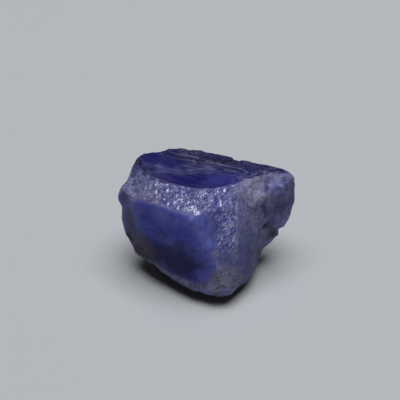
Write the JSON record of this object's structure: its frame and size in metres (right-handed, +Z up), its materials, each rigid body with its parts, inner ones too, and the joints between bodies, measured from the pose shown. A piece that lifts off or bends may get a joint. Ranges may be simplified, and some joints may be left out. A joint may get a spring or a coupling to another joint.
{
  "type": "rough tanzanite crystal",
  "caption": "Broken stub of blue-violet crystal with a stepped cleavage top, a sparkling bevel and a smooth translucent front face.",
  "frame": {"origin": "middle of the bounding box in X and Y, at the height of the resting flat", "axes": "+X along the stone's length towards the overhanging prism end, +Y away from the broad broken front face, +Z up"},
  "size_m": [0.0184, 0.0122, 0.0123],
  "materials": {
    "tanzanite": "rough translucent crystal: polished dark top, frosted sparkling bevel and ridge, satin front face"
  },
  "bodies": {
    "root": {"rough_tanzanite": "tanzanite"}
  },
  "joints": []
}
